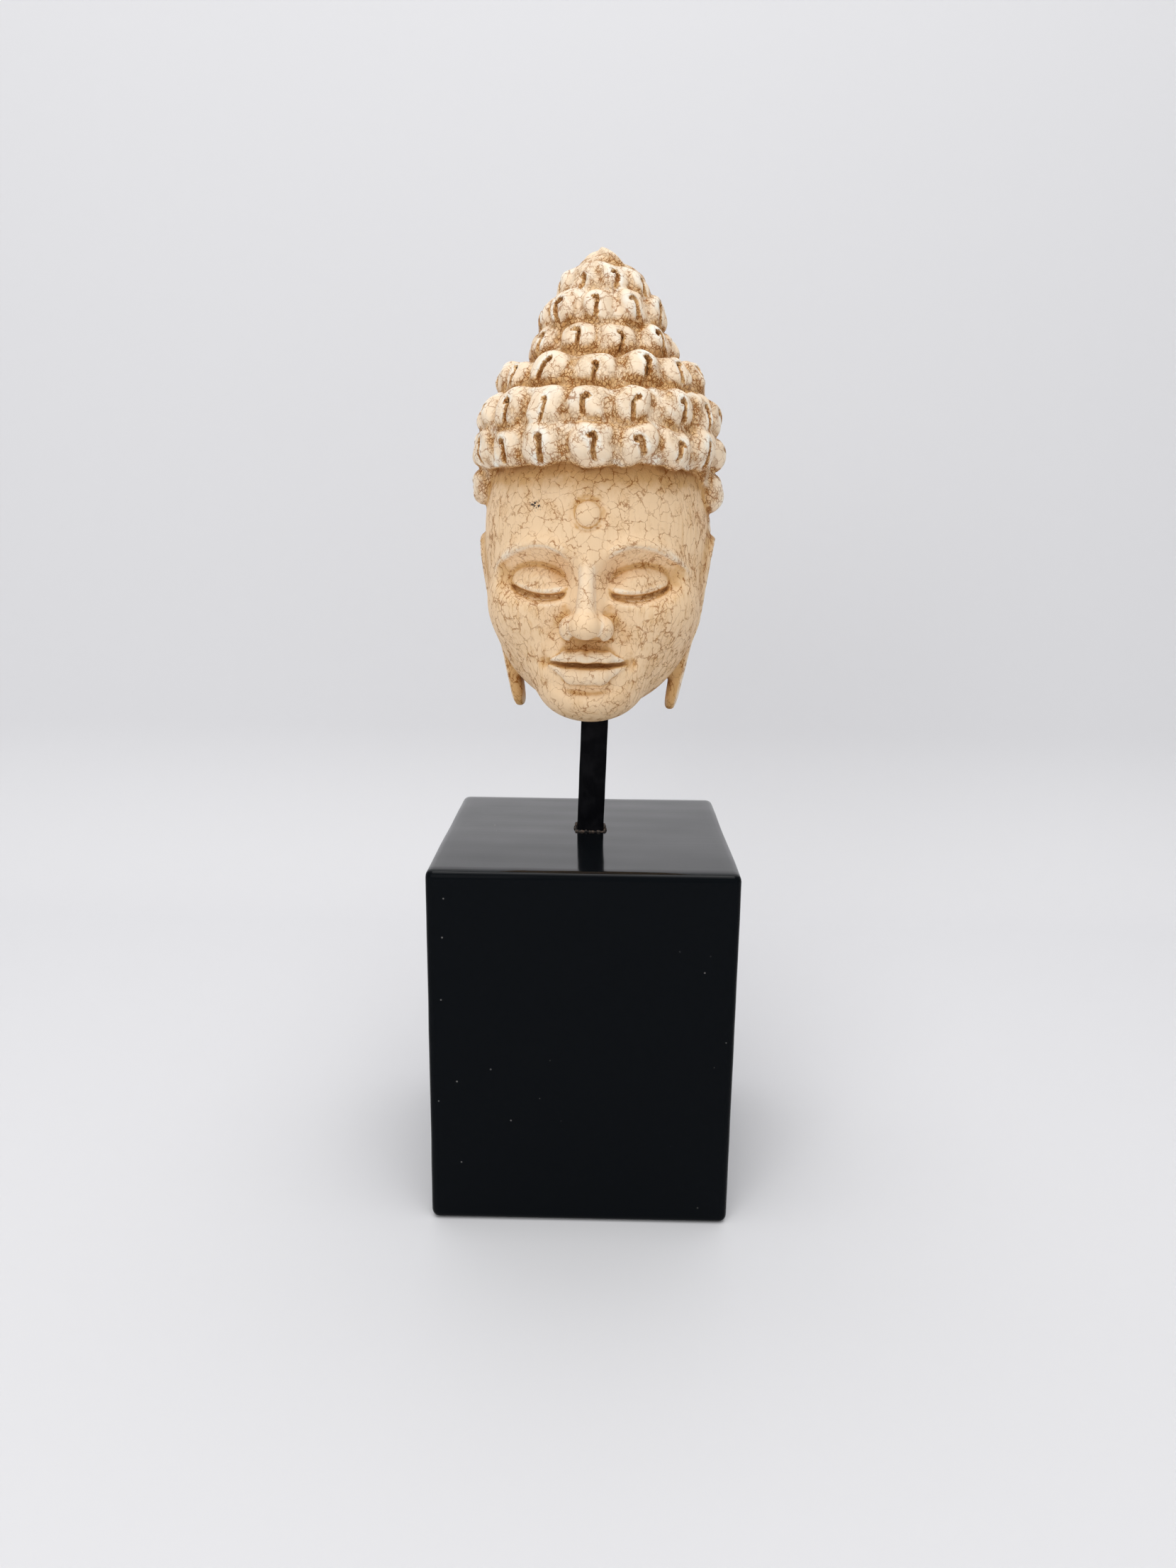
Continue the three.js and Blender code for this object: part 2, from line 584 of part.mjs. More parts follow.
// Merges the two ends of the edge that changes the form least, until few enough triangles are left.
function thinOut({ points, triangles }, wanted) {
  const place = [];
  for (let i = 0; i < points.length; i += 3) {
    place.push(new THREE.Vector3(...points.slice(i, i + 3)));
  }
  const faces = [];
  for (let i = 0; i < triangles.length; i += 3) {
    faces.push(triangles.slice(i, i + 3));
  }
  const around = place.map(() => new Set());
  const quadrics = new Float64Array(place.length * 10);
  const triangle = new THREE.Triangle();
  const plane = new THREE.Plane();
  faces.forEach((face, i) => {
    triangle.set(...face.map((v) => place[v])).getPlane(plane);
    for (const v of face) {
      around[v].add(i);
      addPlane(quadrics, v, plane.normal, plane.constant, triangle.getArea());
    }
  });
  const stamp = new Uint32Array(place.length);
  const queue = new Queue();
  const offer = (a, b) => {
    const q = new Float64Array(10).map((_, i) => quadrics[a * 10 + i] + quadrics[b * 10 + i]);
    const middle = place[a].clone().lerp(place[b], 0.5);
    const best = cheapestPlace(q);
    const settled = best && best.distanceTo(middle) < place[a].distanceTo(place[b]);
    const spots = settled ? [best] : [middle, place[a], place[b]];
    const costs = spots.map((spot) => Math.max(planeCost(q, spot), 0));
    const least = Math.min(...costs);
    const cost = least + SHORT_EDGES_FIRST * place[a].distanceToSquared(place[b]);
    queue.push({ cost, a, b, stamps: stamp[a] + stamp[b], spot: spots[costs.indexOf(least)] });
  };
  const neighbours = (v) => new Set([...around[v]].flatMap((i) => faces[i]).filter((w) => w !== v));
  const faceAt = (i, v, spot) => new THREE.Triangle(...faces[i].map((w) => (w === v ? spot : place[w])));
  // The way out of the surface near an edge, from the larger triangles more than from the slivers.
  const wayOut = (a, b) => {
    const sum = new THREE.Vector3();
    for (const i of new Set([...around[a], ...around[b]])) {
      const { a: p, b: q, c: r } = faceAt(i, -1, null);
      sum.add(q.clone().sub(p).cross(r.clone().sub(p)));
    }
    return sum.normalize();
  };
  const spoils = (v, other, spot, out) =>
    [...around[v]].some((i) => {
      if (faces[i].includes(other)) {
        return false;
      }
      const after = faceAt(i, v, spot);
      const full = fullness(after);
      const sliver = full < LEAST_FULLNESS && full < fullness(faceAt(i, -1, null));
      return sliver || after.getNormal(new THREE.Vector3()).dot(out) < LEAST_OUTWARD;
    });
  const offerAll = () => {
    queue.entries = [];
    place.forEach((_, v) => {
      for (const w of neighbours(v)) {
        if (v < w) {
          offer(v, w);
        }
      }
    });
  };
  let left = faces.length;
  let offered = Infinity;
  while (left > wanted) {
    if (!queue.entries.length) {
      if (left >= offered) {
        break;
      }
      offered = left;
      offerAll();
    }
    const { a, b, stamps, spot } = queue.pop();
    if (!around[a].size || !around[b].size || stamps !== stamp[a] + stamp[b]) {
      continue;
    }
    const shared = [...neighbours(a)].filter((v) => neighbours(b).has(v));
    const out = wayOut(a, b);
    if (shared.length !== 2 || spoils(a, b, spot, out) || spoils(b, a, spot, out)) {
      continue;
    }
    for (const i of [...around[b]]) {
      if (faces[i].includes(a)) {
        faces[i].forEach((v) => around[v].delete(i));
        left--;
      } else {
        faces[i] = faces[i].map((v) => (v === b ? a : v));
        around[a].add(i);
      }
    }
    around[b].clear();
    place[a] = spot;
    for (let i = 0; i < 10; i++) {
      quadrics[a * 10 + i] += quadrics[b * 10 + i];
    }
    stamp[a] += stamp[b] + 1;
    neighbours(a).forEach((v) => offer(a, v));
  }
  const kept = faces.filter((face, i) => around[face[0]].has(i));
  return geometryOf(place.flatMap((p) => p.toArray()), kept.flat());
}

function geometryOf(points, triangles) {
  const geometry = new THREE.BufferGeometry();
  geometry.setAttribute("position", new THREE.Float32BufferAttribute(points, 3));
  geometry.setIndex(triangles);
  return geometry;
}

// A mesh's geometry in the frame of the whole part, as a solid that can be cut.
function solidOf(mesh) {
  mesh.updateMatrixWorld(true);
  const plain = mesh.geometry.clone().deleteAttribute("normal").deleteAttribute("uv");
  const merged = mergeVertices(plain.applyMatrix4(mesh.matrixWorld), 1e-4);
  const vertProperties = merged.attributes.position.array;
  const triVerts = new Uint32Array(merged.index.array);
  return new wasm.Manifold(new wasm.Mesh({ numProp: 3, vertProperties, triVerts }));
}

// Cuts the socket for the bar into a piece.
function cutSocket(mesh, hole) {
  const cut = solidOf(mesh).subtract(solidOf(hole)).getMesh();
  mesh.geometry = geometryOf([...cut.vertProperties], [...cut.triVerts]);
  mesh.geometry.applyMatrix4(mesh.matrixWorld.clone().invert());
  mesh.geometry.computeVertexNormals();
}

const lacquer = new THREE.MeshStandardMaterial({ color: 0x0b0d0f, roughness: 0.12, metalness: 0 });
const barPaint = new THREE.MeshStandardMaterial({ color: 0x0d0d0d, roughness: 0.4, metalness: 0.2 });
const crackledPaint = new THREE.MeshStandardMaterial({ color: 0xe6cfa9, roughness: 0.6, metalness: 0 });

function makeBlock() {
  const size = [BLOCK_WIDTH, BLOCK_WIDTH, BLOCK_HEIGHT];
  const geometry = new RoundedBoxGeometry(...size, BLOCK_EDGE_STEPS, BLOCK_EDGE_RADIUS);
  const mesh = new THREE.Mesh(geometry, lacquer);
  mesh.name = "plinth_block";
  mesh.position.z = BLOCK_HEIGHT / 2;
  return mesh;
}

// The bar runs from the bottom of one socket to the top of the other.
const barBottom = BLOCK_HEIGHT - FOOT_SOCKET + CLEARANCE;
const barTop = HEAD_PLACE.z + NECK_END + HEAD_SOCKET - CLEARANCE;
const barLength = (barTop - barBottom) / Math.cos(BAR_LEAN);

function placeOnBar(mesh) {
  const middle = (barTop + barBottom) / 2 - BAR_FOOT.z;
  mesh.position.copy(BAR_FOOT).add(new THREE.Vector3(middle * Math.tan(BAR_LEAN), 0, middle));
  mesh.rotation.y = BAR_LEAN;
  return mesh;
}

function makeBar() {
  const geometry = new RoundedBoxGeometry(BAR_WIDTH, BAR_WIDTH, barLength, BAR_EDGE_STEPS, BAR_EDGE_RADIUS);
  const mesh = new THREE.Mesh(geometry, barPaint);
  mesh.name = "mounting_bar";
  return placeOnBar(mesh);
}

function makeHole() {
  const width = BAR_WIDTH + 2 * CLEARANCE;
  return placeOnBar(new THREE.Mesh(new THREE.BoxGeometry(width, width, barLength + 2 * CLEARANCE)));
}

function makeHead() {
  const carved = carve(head, [-48, -54, -3], [48, 52, 153], CARVING_STEP);
  const mesh = new THREE.Mesh(thinOut(carved, HEAD_TRIANGLES), crackledPaint);
  mesh.name = "buddha_head";
  mesh.position.copy(HEAD_PLACE);
  mesh.rotation.z = HEAD_TURN;
  return mesh;
}

const statue = new THREE.Group();
const block = makeBlock();
const buddhaHead = makeHead();
const hole = makeHole();
cutSocket(block, hole);
cutSocket(buddhaHead, hole);
statue.add(block, makeBar(), buddhaHead);

export default statue;
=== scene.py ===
import math
import bpy
import numpy as np
from mathutils import Matrix, Vector


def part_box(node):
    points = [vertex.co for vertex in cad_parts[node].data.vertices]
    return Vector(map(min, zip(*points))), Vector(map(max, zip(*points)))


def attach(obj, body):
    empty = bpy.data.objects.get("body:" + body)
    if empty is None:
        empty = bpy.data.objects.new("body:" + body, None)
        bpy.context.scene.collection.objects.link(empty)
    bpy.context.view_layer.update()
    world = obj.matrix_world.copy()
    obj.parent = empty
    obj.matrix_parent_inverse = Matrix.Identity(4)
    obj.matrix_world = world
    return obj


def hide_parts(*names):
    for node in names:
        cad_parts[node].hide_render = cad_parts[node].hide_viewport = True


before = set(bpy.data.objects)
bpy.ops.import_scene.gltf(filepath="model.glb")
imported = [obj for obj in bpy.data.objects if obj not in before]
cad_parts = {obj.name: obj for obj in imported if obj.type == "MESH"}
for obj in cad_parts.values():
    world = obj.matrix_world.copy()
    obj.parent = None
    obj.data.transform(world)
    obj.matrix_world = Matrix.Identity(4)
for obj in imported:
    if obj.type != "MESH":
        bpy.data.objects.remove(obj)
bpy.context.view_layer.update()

# The block: a tall box of wood under several brushed coats of black gloss lacquer.
# The lacquer has rounded every edge, lies a little unevenly, and has dried with dust in it.
block_low, block_high = (np.array(corner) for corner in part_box("plinth_block"))
block_edge = 0.0028
block_unevenness = 0.00012
block_step = 0.0025


def spaced(low, high, edge, step):
    """Places along one side of a box, closer together over its rounded edges."""
    bend = edge * (1 - np.cos(np.linspace(0, math.pi / 2, 5)))[:-1]
    flat = np.linspace(low + edge, high - edge, max(2, round((high - low - 2 * edge) / step) + 1))
    return np.concatenate([low + bend, flat, (high - bend)[::-1]])


def box_shell(axes):
    """The points and outward four-sided faces on the outside of a grid of places."""
    counts = [len(axis) for axis in axes]
    keys = []
    for side in range(3):
        across, up = (side + 1) % 3, (side + 2) % 3
        i, j = np.meshgrid(np.arange(counts[across] - 1), np.arange(counts[up] - 1), indexing="ij")
        for end in (0, counts[side] - 1):
            corners = []
            for di, dj in ((0, 0), (1, 0), (1, 1), (0, 1)):
                key = np.zeros((i.size, 3), int)
                key[:, side] = end
                key[:, across] = i.ravel() + di
                key[:, up] = j.ravel() + dj
                corners.append(key)
            quad = np.stack(corners, 1)
            keys.append(quad if end else quad[:, ::-1])
    keys = np.concatenate(keys)
    unique, faces = np.unique(keys.reshape(-1, 3), axis=0, return_inverse=True)
    points = np.stack([axes[side][unique[:, side]] for side in range(3)], 1)
    return points, faces.reshape(-1, 4)


def rounded(points, low, high, edge):
    """Moves the points on a box's outside onto its rounded edges, and gives the ways out."""
    core = np.clip(points, low + edge, high - edge)
    out = points - core
    out /= np.maximum(np.linalg.norm(out, axis=1, keepdims=True), 1e-9)
    return core + edge * out, out


def waver(points, length, seed):
    """A soft unevenness from about -1 to 1 whose humps are about a length apart."""
    draw = np.random.default_rng(seed)
    total = np.zeros(len(points))
    for _ in range(7):
        way = draw.normal(size=3)
        way *= draw.uniform(0.7, 1.5) * math.tau / (2 * length * np.linalg.norm(way))
        total += np.sin(points @ way + draw.uniform(0, math.tau))
    return total / 2.6


def seen(red, green, blue):
    """A colour as the eye sees it, each part from 0 to 255, in the numbers that a material takes."""
    return tuple(((part / 255 + 0.055) / 1.055) ** 2.4 for part in (red, green, blue)) + (1,)


def make_piece(name, points, faces, smooth=True):
    mesh = bpy.data.meshes.new(name)
    mesh.from_pydata(np.asarray(points).tolist(), [], np.asarray(faces).tolist())
    mesh.polygons.foreach_set("use_smooth", [smooth] * len(mesh.polygons))
    mesh.validate()
    piece = bpy.data.objects.new(name, mesh)
    bpy.context.scene.collection.objects.link(piece)
    return piece


class Wire:
    """One output in a material's nodes. Arithmetic on wires adds Math nodes."""

    def __init__(self, tree, socket=None):
        self.tree = tree
        self.socket = socket

    def node(self, kind, settings, inputs, output=0):
        made = self.tree.nodes.new("ShaderNode" + kind)
        for name, value in settings.items():
            setattr(made, name, value)
        for name, value in inputs.items():
            if isinstance(value, Wire):
                self.tree.links.new(value.socket, made.inputs[name])
            elif value is not None:
                made.inputs[name].default_value = value
        return Wire(self.tree, made.outputs[output])

    def math(self, operation, *values):
        return self.node("Math", {"operation": operation}, dict(enumerate(values)))

    def __add__(self, other):
        return self.math("ADD", self, other)

    def __sub__(self, other):
        return self.math("SUBTRACT", self, other)

    def __rsub__(self, other):
        return self.math("SUBTRACT", other, self)

    def __mul__(self, other):
        return self.math("MULTIPLY", self, other)

    __radd__ = __add__
    __rmul__ = __mul__

    def ramp(self, low, high):
        """0 below low and 1 above high, smooth between; falling where low is above high."""
        sockets = {"Value": self, "From Min": low, "From Max": high}
        return self.node("MapRange", {"interpolation_type": "SMOOTHSTEP"}, sockets)

    def blend(self, first, second):
        """The first colour where this wire is 0 and the second where it is 1."""
        return self.node("Mix", {"data_type": "RGBA"}, {0: self, 6: first, 7: second}, 2)

    def shift(self, offset):
        return self.node("VectorMath", {"operation": "ADD"}, {0: self, 1: offset})

    def length(self):
        return self.node("VectorMath", {"operation": "LENGTH"}, {0: self}, 1)

    def stretch(self, factors):
        return self.node("VectorMath", {"operation": "MULTIPLY"}, {0: self, 1: factors})

    def noise(self, size, detail=2.0, output=0):
        """Cloudy noise from 0 to 1, its spots about a size in millimetres."""
        return self.node("TexNoise", {}, {"Vector": self, "Scale": 1 / size, "Detail": detail}, output)

    def cell_edge(self, size):
        """How far a point is from the nearest edge of irregular cells, in cell sizes."""
        settings = {"feature": "DISTANCE_TO_EDGE"}
        return self.node("TexVoronoi", settings, {"Vector": self, "Scale": 1 / size})

    def spots(self, size):
        """How far a point is from the nearest of scattered spots, in the spacing's size."""
        return self.node("TexVoronoi", {}, {"Vector": self, "Scale": 1 / size})


def finish_material(piece, name, build, **uniform):
    """Gives a piece a material whose varying inputs build returns, from places in millimetres."""
    material = bpy.data.materials.new(name)
    material.use_nodes = True
    tree = material.node_tree
    surface = tree.nodes["Principled BSDF"]
    for socket, value in uniform.items():
        surface.inputs[socket.replace("_", " ")].default_value = value
    places = Wire(tree).node("TexCoord", {}, {}, "Object").stretch((1000, 1000, 1000))
    for socket, wire in build(places).items():
        tree.links.new(wire.socket, surface.inputs[socket])
    piece.data.materials.clear()
    piece.data.materials.append(material)


def relief(height, depth, strength=1.0):
    """The normal of a surface raised by height times a depth in metres."""
    return height.node("Bump", {}, {"Strength": strength, "Distance": depth, "Height": height})


block_axes = [spaced(block_low[i], block_high[i], block_edge, block_step) for i in range(3)]
block_points, block_faces = box_shell(block_axes)
block_points, block_out = rounded(block_points, block_low, block_high, block_edge)
block_sag = (waver(block_points, 0.030, 3) + 0.5 * waver(block_points, 0.009, 4)) * 0.5 - 0.8
block_sag[block_points[:, 2] < block_low[2] + block_edge] = 0
block_points += block_out * (block_sag * block_unevenness)[:, None]
block = make_piece("lacquered_block", block_points, block_faces)

lacquer_black = (0.0035, 0.0045, 0.0058, 1)
dust_grey = (0.16, 0.155, 0.15, 1)
brushed_depth = 0.00008
polish_from, polish_to = 122.4, 123.5


def black_lacquer(places):
    brush = places.stretch((0.05, 1.0, 0.05)).noise(1.6, 3)
    wide = places.noise(9, 1)
    dust = places.spots(7).ramp(0.055, 0.03) * places.noise(30, 1).ramp(0.45, 0.6)
    colour = dust.blend(lacquer_black, dust_grey)
    height = brush * 0.35 + wide * 0.5 + dust * 0.8
    polished = 0.8 * places.node("SeparateXYZ", {}, {0: places}, 2).ramp(polish_from, polish_to)
    return {
        "Base Color": colour,
        "Roughness": 0.09 + 0.05 * places.noise(14, 3) + 0.3 * dust,
        "Coat Weight": polished,
        "Normal": relief(height, brushed_depth),
    }


finish_material(block, "black lacquer", black_lacquer, Specular_IOR_Level=0.035, Coat_Roughness=0.09)
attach(block, "root")
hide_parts("plinth_block")

# The bar: a square steel bar in black paint, set into the block and the head.
# It leans a degree or so to one side, as it was set by hand.
bar_low, bar_high = (np.array(corner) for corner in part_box("mounting_bar"))
bar_width = 0.0095
bar_edge = 0.0007
bar_step = 0.0012
bar_unevenness = 0.00005
bar_lean = math.radians(1.5)
bar_length = (bar_high[2] - bar_low[2] - bar_width * math.sin(bar_lean)) / math.cos(bar_lean)
bar_middle = (bar_low + bar_high) / 2

bar_half = np.array([bar_width / 2, bar_width / 2, bar_length / 2])
bar_axes = [spaced(-half, half, bar_edge, bar_step) for half in bar_half]
bar_points, bar_faces = box_shell(bar_axes)
bar_points, bar_out = rounded(bar_points, -bar_half, bar_half, bar_edge)
bar_points += bar_out * ((waver(bar_points, 0.006, 5) - 1.2) * bar_unevenness)[:, None]
bar_turn = np.array(Matrix.Rotation(bar_lean, 3, "Y"))
bar = make_piece("painted_bar", bar_points @ bar_turn.T + bar_middle, bar_faces)

bar_black = (0.0028, 0.0029, 0.004, 1)
bar_worn = (0.008, 0.008, 0.0095, 1)


def bar_paint(places):
    strokes = places.stretch((1.0, 1.0, 0.06)).noise(1.1, 3)
    return {
        "Base Color": places.noise(5, 3).ramp(0.4, 0.7).blend(bar_black, bar_worn),
        "Roughness": 0.22 + 0.2 * strokes,
        "Normal": relief(strokes, brushed_depth),
    }


finish_material(bar, "bar paint", bar_paint, Specular_IOR_Level=0.035)
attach(bar, "root")
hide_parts("mounting_bar")

# The bead at the bar's foot: glue that has squeezed out around the bar and been painted over.
# It is a ragged rim, torn in places, that shows brown where the black missed it.
bead_reach = 0.0009
bead_height = 0.0008
bead_around, bead_steps = 144, 9
bead_centre = np.array([bar_middle[0] - (bar_middle[2] - block_high[2]) * math.tan(bar_lean), bar_middle[1]])

bead_turn = np.linspace(0, math.tau, bead_around, endpoint=False)
bead_way = np.stack([np.cos(bead_turn), np.sin(bead_turn)], 1)
bead_square = (bar_width / 2) / np.max(np.abs(bead_way), axis=1)
bead_ring = np.stack([bead_way[:, 0], bead_way[:, 1], np.zeros(bead_around)], 1) * 0.005
bead_ragged = 1 + 0.45 * waver(bead_ring, 0.0012, 6) + 0.3 * waver(bead_ring, 0.0005, 7)
bead_points = []
for step in range(bead_steps):
    angle = math.pi * step / (bead_steps - 1)
    reach = bead_square - 0.0002 + bead_reach * np.clip(bead_ragged, 0.15, 2) * (1 + math.cos(angle)) / 2
    rise = bead_height * np.clip(bead_ragged, 0.2, 1.8) * math.sin(angle)
    level = np.full(bead_around, block_high[2] - 0.0002)
    ring = bead_centre + bead_way * reach[:, None]
    bead_points.append(np.column_stack([ring, level + rise]))
bead_points = np.concatenate(bead_points)
bead_faces = []
for step in range(bead_steps):
    here, beyond = step * bead_around, (step + 1) % bead_steps * bead_around
    for i in range(bead_around):
        j = (i + 1) % bead_around
        bead_faces.append([here + i, here + j, beyond + j, beyond + i])
bead = make_piece("glue_bead", bead_points, bead_faces)

bead_black = (0.012, 0.011, 0.011, 1)
bead_brown = (0.15, 0.105, 0.075, 1)


def bead_finish(places):
    rough = places.noise(0.5, 3)
    return {
        "Base Color": places.noise(0.9, 3).ramp(0.42, 0.62).blend(bead_black, bead_brown),
        "Roughness": 0.4 + 0.4 * rough,
        "Normal": relief(rough, 0.00015),
    }


finish_material(bead, "glue bead", bead_finish)
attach(bead, "root")

# The head: carved from one piece of wood, with ears that hang free and rows of hooked curls.
# The carving is worked out as a distance to its surface, in millimetres from where the head is held.
head_place = np.array([2.5, 2.0, 166.0])
head_turn = math.radians(-4)
neck_end, chin_height, brow_height, mark_height, head_height = 2.5, 2.0, 56.5, 66.5, 149.8


def join(a, b, soft):
    """Two forms run together over a soft width."""
    h = np.maximum(soft - np.abs(a - b), 0) / soft
    return np.minimum(a, b) - h * h * soft * 0.25


def overlap(a, b, soft):
    return -join(-a, -b, soft)


def fade(low, high, value):
    """0 below low and 1 above high, smooth between; falling where low is above high."""
    t = np.clip((value - low) / (high - low), 0, 1)
    return t * t * (3 - 2 * t)


def bell(value, width):
    return np.exp(-((value / width) ** 2))


def egg(x, y, z, centre, radii):
    p = (x - centre[0]) / radii[0], (y - centre[1]) / radii[1], (z - centre[2]) / radii[2]
    size = np.sqrt(p[0] ** 2 + p[1] ** 2 + p[2] ** 2)
    slope = np.sqrt((p[0] / radii[0]) ** 2 + (p[1] / radii[1]) ** 2 + (p[2] / radii[2]) ** 2)
    return size * (size - 1) / np.maximum(slope, 1e-6)


def stroke(x, y, z, start, end, start_radius, end_radius):
    """A tapered stroke with round ends."""
    d = [end[i] - start[i] for i in range(3)]
    p = x - start[0], y - start[1], z - start[2]
    along = (p[0] * d[0] + p[1] * d[1] + p[2] * d[2]) / (d[0] ** 2 + d[1] ** 2 + d[2] ** 2)
    t = np.clip(along, 0, 1)
    gap = np.sqrt((p[0] - t * d[0]) ** 2 + (p[1] - t * d[1]) ** 2 + (p[2] - t * d[2]) ** 2)
    return gap - (start_radius + (end_radius - start_radius) * t)


def curve_through(*knots):
    """A smooth curve through places and values, level beyond its ends."""
    places, values = np.array(knots, float).T
    slopes = np.gradient(values, places)

    def curve(place):
        v = np.clip(place, places[0], places[-1])
        i = np.clip(np.searchsorted(places, v) - 1, 0, len(places) - 2)
        width = places[i + 1] - places[i]
        t = (v - places[i]) / width
        s = 1 - t
        ends = values[i] * (1 + 2 * t) * s * s + values[i + 1] * t * t * (3 - 2 * t)
        return ends + width * t * s * (slopes[i] * s - slopes[i + 1] * t)

    return curve


def chance(row, curl):
    """A repeatable number from 0 to 1 for one curl of one row."""
    return np.mod(np.sin(row * 78.233 + curl * 12.9898) * 43758.5453, 1.0)


def face_plain(x, y, z):
    """The plain egg of the face, from the chin to the crown."""
    middle = 46
    t = np.abs(z - middle) / np.where(z > middle, 52, middle - chin_height)
    level = np.sqrt((x / 35.5) ** 2 + ((y + 6) / 31) ** 2)
    return ((level**2 + t**2.3) ** (1 / 2.1) - 1) * 27.9


def lids(across, z):
    """How far a lowered lid and its slit stand out of the socket."""
    u = (across - 15.8) / 9.4
    bow = np.clip(1 - u * u, 0, 1)
    v = (z - 45.6 - 0.8 * u) / np.where(z > 45.6 + 0.8 * u, 5.6, 5.2)
    ball = 4.4 * np.clip(1.02 - u * u - v * v, 0, 1) ** 0.95
    t = z - (43.8 + 1.0 * u - 1.9 * bow)
    slit = -1.9 * np.where(t > 0, bell(t, 0.5), bell(t, 1.1))
    return ball + fade(0, 0.4, bow) * (slit + 0.5 * bell(t - 1.4, 0.8) + 0.5 * bell(t + 2.9, 1.1))


def face_relief(x, z):
    """How far the carving stands out of the plain face."""
    across = np.abs(x)
    socket = np.hypot((across - 15.5) / 14.5, (z - 47 + 0.05 * (across - 15)) / 9)
    corner = np.hypot((across - 8) / 4.6, (z - 49.5) / 6.5)
    arch = brow_height + 1 - np.where(across > 15, 0.03, 0.052) * (across - 15) ** 2
    brow = bell(z - arch, np.where(z > arch, 3.0, 1.3)) * fade(3.5, 8, across) * fade(33, 25, across)
    mark = np.hypot(x, z - mark_height)
    rise = lids(across, z) - 4.8 * fade(-0.1, 0.8, 1 - socket)
    rise = rise - 1.8 * fade(-0.1, 0.9, 1 - corner) + 1.9 * brow
    rise -= 1.5 * bell(x, 8.5) * bell(z - 12.2 - 0.012 * x * x, 1.7)
    rise -= 0.9 * bell(x, 1.8) * fade(24, 26, z) * fade(30, 27.5, z)
    rise -= 1.3 * bell(across - 13.7, 1.6) * bell(z - 20.9, 1.9)
    rise -= 0.6 * bell(across - 10.5 - 0.3 * (30 - z), 1.8) * fade(21, 24, z) * fade(35, 31, z)
    rise += 1.2 * bell(x, 8) * bell(z - 7.5, 5)
    return rise + 1.5 * np.sqrt(np.clip(1 - (mark / 4.1) ** 2, 0, 1)) - 0.7 * bell(mark - 4.7, 0.9)


def lips(across, y, z):
    bow = stroke(across, y, z, (1.9, -37, 23.6), (6.2, -36.4, 23.1), 2.2, 2)
    side = stroke(across, y, z, (6.2, -36.4, 23.1), (12.6, -32.5, 21), 2, 0.6)
    upper = join(join(bow, side, 1), egg(across, y, z, (0, -37.2, 22.8), (2.6, 2.3, 1.9)), 1)
    middle = stroke(across, y, z, (0, -36.4, 17.2), (4.4, -36, 17.3), 3, 2.8)
    side = stroke(across, y, z, (4.4, -36, 17.3), (12, -32.2, 20.2), 2.8, 0.6)
    return upper, join(middle, side, 1.2)


def nose(across, y, z):
    ridge = stroke(across, y, z, (0, -36.2, 55), (0, -44, 35.5), 1.8, 2.8)
    sides = stroke(across, y, z, (0, -31.2, 52), (0, -37, 34.2), 3.8, 5.8)
    tip = egg(across, y, z, (0, -43.6, 33.3), (4.7, 4.7, 4.1))
    wing = egg(across, y, z, (5.3, -38.6, 32.2), (3.2, 5.4, 3.8))
    opening = egg(across, y, z, (3, -40.8, 28.7), (1.7, 2.9, 1.6))
    solid = join(join(join(ridge, sides, 2.8), tip, 2), wing, 2)
    ring = np.hypot((y + 39.5) / 1.25, z - 32) - 5.2
    crease = bell(ring, 0.8) * fade(3.6, 5.6, across) * fade(-43, -40, y)
    return overlap(solid + 0.7 * crease, -opening, 0.9)


def face(x, y, z):
    across = np.abs(x)
    d = face_plain(x, y, z)
    d = join(d, egg(x, y, z, (0, -21.5, 21.5), (18, 12.6, 13)), 7)
    d = join(d, egg(x, y, z, (0, -23, 10.2), (14, 11.8, 8.5)), 9)
    d = join(d, egg(across, y, z, (19.5, -18, 38), (12, 13, 11)), 8)
    d = join(d, egg(x, y, z, (0, 2, 66), (36.5, 40.5, 46)), 6)
    d = d - face_relief(x, z) * fade(4, -12, y)
    for lip in lips(across, y, z):
        d = join(d, lip, 0.6)
    line = bell(z - 20.5 - 0.004 * x * x, 0.6)
    d = d + 1.2 * line * fade(13.6, 11, across) * fade(-24, -28, y)
    return join(d, nose(across, y, z), 1.8)


def neck(x, y, z):
    side = (np.hypot(x / 13, (y - 10) / 18) - 1) * 13
    return overlap(overlap(side, z - 46, 4), neck_end - z, 1)


ear_half_width = curve_through((-6, 3.6), (6, 4.8), (20, 5.2), (30, 6.6), (42, 9.6), (52, 10.4), (62, 8))
ear_thickness = curve_through((2, 1.9), (7, 2.2), (13, 2.5), (26, 2.9), (60, 2.8))


def ear(across, y, z):
    """An upright plate that is wide at the top and hangs down in a long lobe with a round end."""
    t = np.clip((z - 3) / 57, 0, 1.1)
    half_width = ear_half_width(z)
    beyond = (z - np.clip(z, 6.4, 53)) / np.where(z > 30, 8.4, 4.6)
    outline = np.hypot((y - 2.2 * np.minimum(t, 1)) / half_width, beyond)
    off = (across - 26.2 - 10.2 * t) * 0.975
    rim = 1.4 * bell((outline - 1) * half_width + 1.6, 1.3) * fade(24, 32, z)
    thickness = ear_thickness(z)
    plate = np.abs(off) / (thickness + np.where(off > 0, rim, 0))
    return ((outline**3 + plate**3) ** (1 / 3) - 1) * thickness


